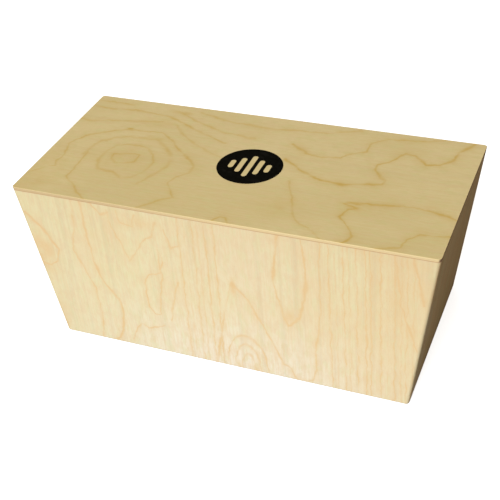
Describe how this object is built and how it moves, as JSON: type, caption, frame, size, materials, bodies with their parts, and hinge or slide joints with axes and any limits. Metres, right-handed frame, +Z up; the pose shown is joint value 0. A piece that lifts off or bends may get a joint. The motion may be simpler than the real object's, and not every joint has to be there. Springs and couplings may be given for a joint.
{
  "type": "bongo cajon",
  "caption": "Knee-held bongo cajon: a plywood box tapering to an open rim, with a thin struck plate on top and an inner divider that gives it a high and a low voice.",
  "frame": {"origin": "centre of the open rim, on the plane the box stands on", "axes": "+X along the length to the right, with the large low-voiced chamber on +X; -Y to the front; +Z up to the playing plate"},
  "size_m": [0.3998, 0.178, 0.1692],
  "materials": {
    "plate_birch": "satin clear lacquer over rotary-cut birch ply",
    "panel_birch": "satin clear lacquer over rotary-cut birch ply",
    "divider_birch": "bare sanded birch ply",
    "strip_pine": "bare planed pine",
    "badge_ink": "matte black printed decal"
  },
  "bodies": {
    "root": {"playing_plate": "plate_birch", "badge_decal": "badge_ink", "front_panel": "panel_birch", "rear_panel": "panel_birch", "left_end_panel": "panel_birch", "right_end_panel": "panel_birch", "divider_panel": "divider_birch", "divider_cleat_front_high": "strip_pine", "front_lining_high": "strip_pine", "divider_cleat_front_low": "strip_pine", "front_lining_low": "strip_pine", "corner_block_front_left": "strip_pine", "corner_block_front_right": "strip_pine", "divider_cleat_rear_high": "strip_pine", "rear_lining_high": "strip_pine", "divider_cleat_rear_low": "strip_pine", "rear_lining_low": "strip_pine", "corner_block_rear_left": "strip_pine", "corner_block_rear_right": "strip_pine", "end_lining_high": "strip_pine", "end_lining_low": "strip_pine"}
  },
  "joints": []
}
